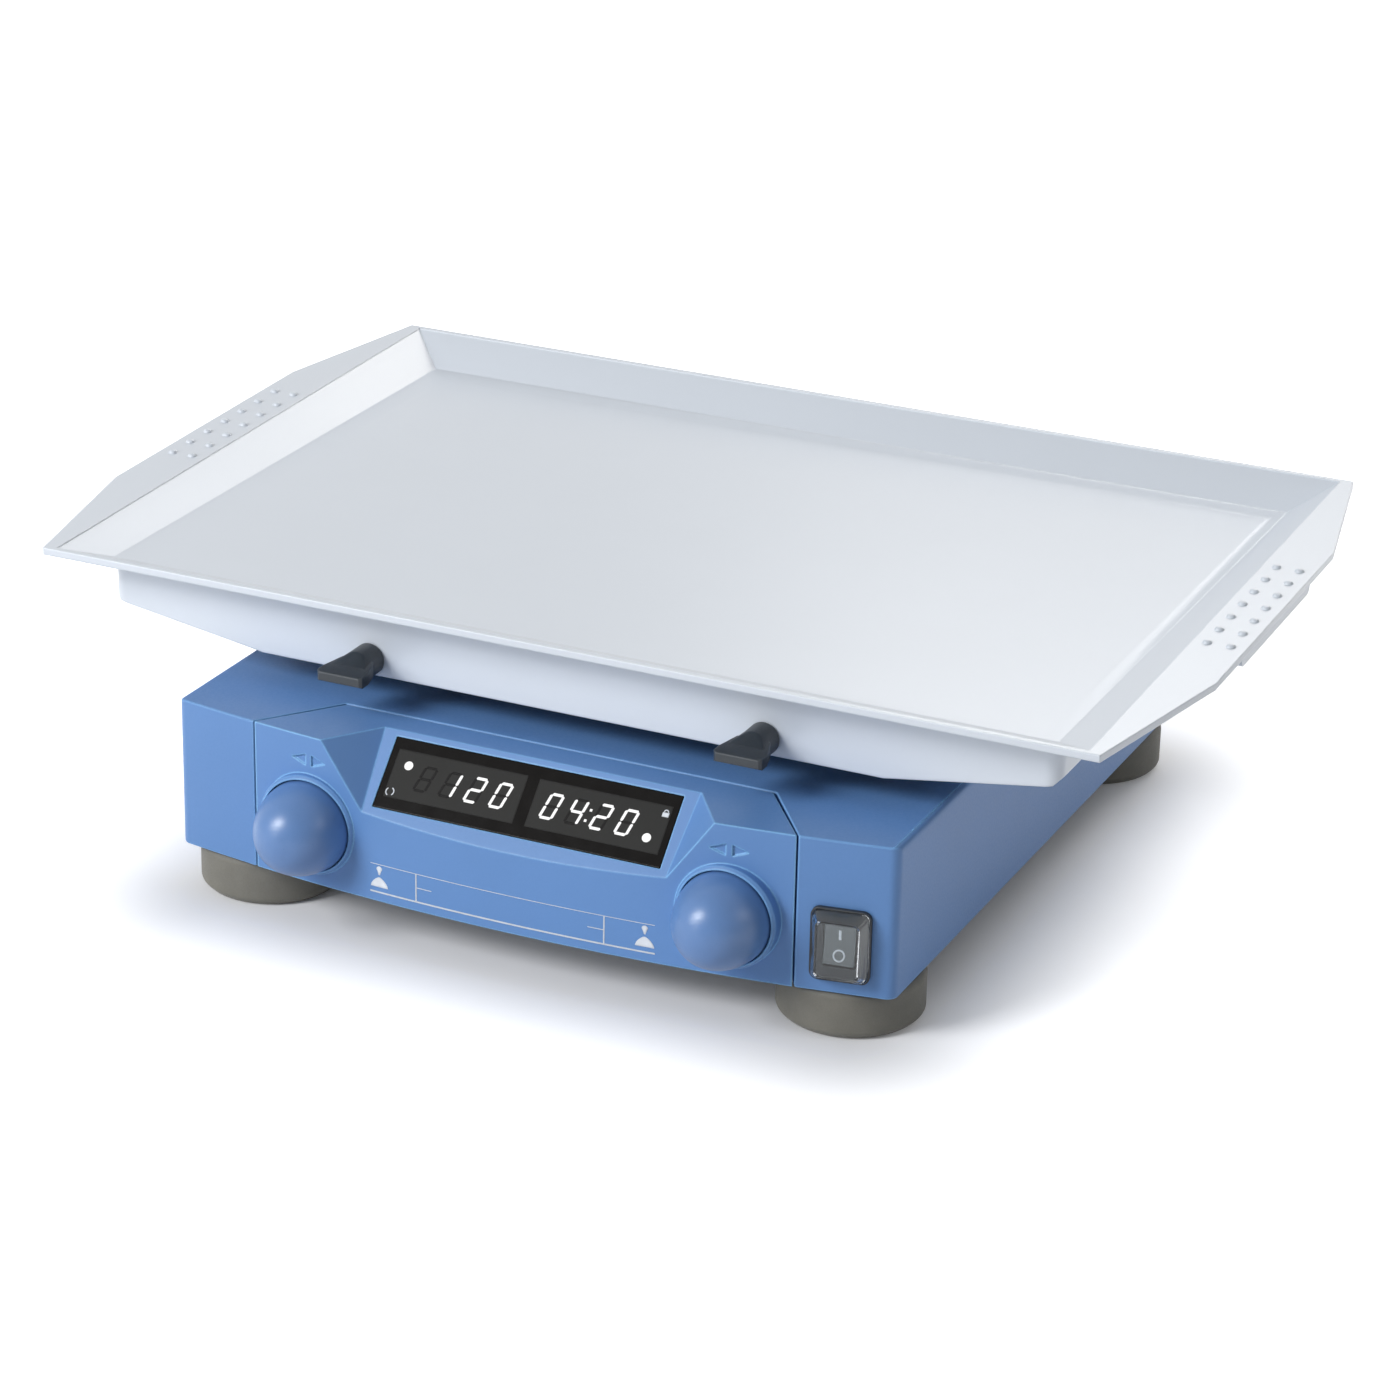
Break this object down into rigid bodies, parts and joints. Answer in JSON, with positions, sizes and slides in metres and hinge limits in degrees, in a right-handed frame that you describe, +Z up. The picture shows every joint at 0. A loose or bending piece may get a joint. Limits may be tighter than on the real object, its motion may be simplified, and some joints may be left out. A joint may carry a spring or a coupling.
{
  "type": "orbital shaker",
  "caption": "Bench orbital shaker: a low housing with knobs, display and rocker switch drives a belt-driven table in a small circle; a lift-off dish tray is clamped to it.",
  "frame": {"origin": "bottom centre of the whole machine's box, on the surface that the feet stand on", "axes": "+X to the right along the tray's long side, +Y to the back, +Z up"},
  "size_m": [0.4212, 0.314, 0.1184],
  "materials": {
    "blue_housing": "fine satin blue powder coat",
    "blue_panel": "satin blue moulding",
    "blue_knob": "smooth satin blue moulding",
    "white_tray": "satin off-white moulding",
    "grey_rubber": "matt taupe rubber",
    "black_rubber": "matt black rubber",
    "dark_window": "dark tinted acrylic",
    "black_plastic": "fine-grained black plastic",
    "wing_plastic": "satin anthracite plastic",
    "grey_plastic": "satin grey plastic",
    "clear_boot": "clear soft plastic",
    "ivory_plastic": "natural acetal",
    "circuit_board": "green solder mask",
    "zinc_steel": "zinc-plated steel",
    "bright_steel": "ground steel",
    "cast_aluminium": "fine-blasted cast aluminium",
    "brass": "turned brass",
    "belt_rubber": "black fabric-backed rubber",
    "dark_iron": "oiled steel"
  },
  "bodies": {
    "root": {"housing_cover": "blue_housing", "base_plate": "zinc_steel", "front_left_foot": "grey_rubber", "front_right_foot": "grey_rubber", "rear_left_foot": "grey_rubber", "rear_right_foot": "grey_rubber", "foot_screws": "zinc_steel", "cover_screws": "zinc_steel", "control_panel": "blue_panel", "panel_screws": "zinc_steel", "display_window": "dark_window", "display_board": "circuit_board", "digit_modules": "black_plastic", "control_board": "circuit_board", "power_board": "circuit_board", "left_encoder": "black_plastic", "right_encoder": "black_plastic", "switch_body": "black_plastic", "switch_boot": "clear_boot", "power_inlet": "black_plastic", "inlet_pins": "bright_steel", "inlet_screws": "zinc_steel", "interface_socket": "zinc_steel", "motor_case": "cast_aluminium", "motor_screws": "zinc_steel", "drive_belt": "belt_rubber", "spindle_housing": "cast_aluminium", "spindle_bearings": "bright_steel", "guide_pillars": "cast_aluminium", "pillar_bearings": "bright_steel", "shaft_seals": "black_rubber"},
    "spindle": {"drive_spindle": "bright_steel", "driven_pulley": "cast_aluminium", "counterweight": "dark_iron"},
    "motor_rotor": {"motor_shaft": "bright_steel", "motor_pulley": "cast_aluminium"},
    "table": {"table": "cast_aluminium", "table_hub_bearing": "bright_steel", "table_crank_bearings": "bright_steel"},
    "front_left_crank": {"front_left_crank": "bright_steel"},
    "front_right_crank": {"front_right_crank": "bright_steel"},
    "rear_left_crank": {"rear_left_crank": "bright_steel"},
    "rear_right_crank": {"rear_right_crank": "bright_steel"},
    "tray": {"dish_tray": "white_tray", "clamp_bushes": "brass"},
    "left_clamp_pad": {"left_clamp_pad": "ivory_plastic"},
    "right_clamp_pad": {"right_clamp_pad": "ivory_plastic"},
    "left_clamp_screw": {"left_clamp_screw": "wing_plastic"},
    "right_clamp_screw": {"right_clamp_screw": "wing_plastic"},
    "left_push": {"left_push_slider": "ivory_plastic"},
    "right_push": {"right_push_slider": "ivory_plastic"},
    "left_knob": {"left_encoder_shaft": "bright_steel", "left_knob": "blue_knob"},
    "right_knob": {"right_encoder_shaft": "bright_steel", "right_knob": "blue_knob"},
    "rocker": {"switch_rocker": "grey_plastic"}
  },
  "joints": [
    {"name": "drive_spin", "type": "hinge", "parent": "root", "child": "spindle", "pos_m": [0, 0.02155, 0.052], "axis": [0, 0, 1], "continuous": true},
    {"name": "motor_spin", "type": "hinge", "parent": "root", "child": "motor_rotor", "pos_m": [0, 0.10755, 0.052], "axis": [0, 0, 1], "continuous": true},
    {"name": "table_orbit", "type": "hinge", "parent": "spindle", "child": "table", "pos_m": [0, 0.02355, 0.094], "axis": [0, 0, 1], "continuous": true},
    {"name": "front_left_crank_spin", "type": "hinge", "parent": "root", "child": "front_left_crank", "pos_m": [-0.095, -0.05332, 0.07], "axis": [0, 0, 1], "continuous": true},
    {"name": "front_right_crank_spin", "type": "hinge", "parent": "root", "child": "front_right_crank", "pos_m": [0.095, -0.05332, 0.07], "axis": [0, 0, 1], "continuous": true},
    {"name": "rear_left_crank_spin", "type": "hinge", "parent": "root", "child": "rear_left_crank", "pos_m": [-0.095, 0.09642, 0.07], "axis": [0, 0, 1], "continuous": true},
    {"name": "rear_right_crank_spin", "type": "hinge", "parent": "root", "child": "rear_right_crank", "pos_m": [0.095, 0.09642, 0.07], "axis": [0, 0, 1], "continuous": true},
    {"name": "tray_lift", "type": "slide", "parent": "table", "child": "tray", "axis": [0, 0, 1], "range_m": [0, 0.04]},
    {"name": "left_clamp_slide", "type": "slide", "parent": "tray", "child": "left_clamp_pad", "axis": [0, -1, 0], "range_m": [0, 0.003]},
    {"name": "left_clamp_turn", "type": "hinge", "parent": "left_clamp_pad", "child": "left_clamp_screw", "pos_m": [-0.0743, -0.10345, 0.0882], "axis": [0, -1, 0], "range_deg": [0, 1080]},
    {"name": "right_clamp_slide", "type": "slide", "parent": "tray", "child": "right_clamp_pad", "axis": [0, -1, 0], "range_m": [0, 0.003]},
    {"name": "right_clamp_turn", "type": "hinge", "parent": "right_clamp_pad", "child": "right_clamp_screw", "pos_m": [0.0743, -0.10345, 0.0882], "axis": [0, -1, 0], "range_deg": [0, 1080]},
    {"name": "left_knob_push", "type": "slide", "parent": "root", "child": "left_push", "axis": [0, 1, 0], "range_m": [0, 0.0012], "stiffness_N_per_m": 2000, "springref_m": -0.001},
    {"name": "left_knob_turn", "type": "hinge", "parent": "left_push", "child": "left_knob", "pos_m": [-0.0786, -0.13655, 0.0395], "axis": [0, -1, 0], "continuous": true},
    {"name": "right_knob_push", "type": "slide", "parent": "root", "child": "right_push", "axis": [0, 1, 0], "range_m": [0, 0.0012], "stiffness_N_per_m": 2000, "springref_m": -0.001},
    {"name": "right_knob_turn", "type": "hinge", "parent": "right_push", "child": "right_knob", "pos_m": [0.0786, -0.13655, 0.0395], "axis": [0, -1, 0], "continuous": true},
    {"name": "power_rock", "type": "hinge", "parent": "root", "child": "rocker", "pos_m": [0.11659, -0.12569, 0.0352], "axis": [0.9866, 0.1629, 0], "range_deg": [0, 16]}
  ],
  "couplings": [
    {"joint": "motor_spin", "follows": "drive_spin", "ratio": 4.2222},
    {"joint": "table_orbit", "follows": "drive_spin", "ratio": -1},
    {"joint": "front_left_crank_spin", "follows": "drive_spin", "ratio": 1},
    {"joint": "front_right_crank_spin", "follows": "drive_spin", "ratio": 1},
    {"joint": "rear_left_crank_spin", "follows": "drive_spin", "ratio": 1},
    {"joint": "rear_right_crank_spin", "follows": "drive_spin", "ratio": 1},
    {"joint": "left_clamp_turn", "follows": "left_clamp_slide", "rad_per_m": 6283.2},
    {"joint": "right_clamp_turn", "follows": "right_clamp_slide", "rad_per_m": 6283.2}
  ]
}
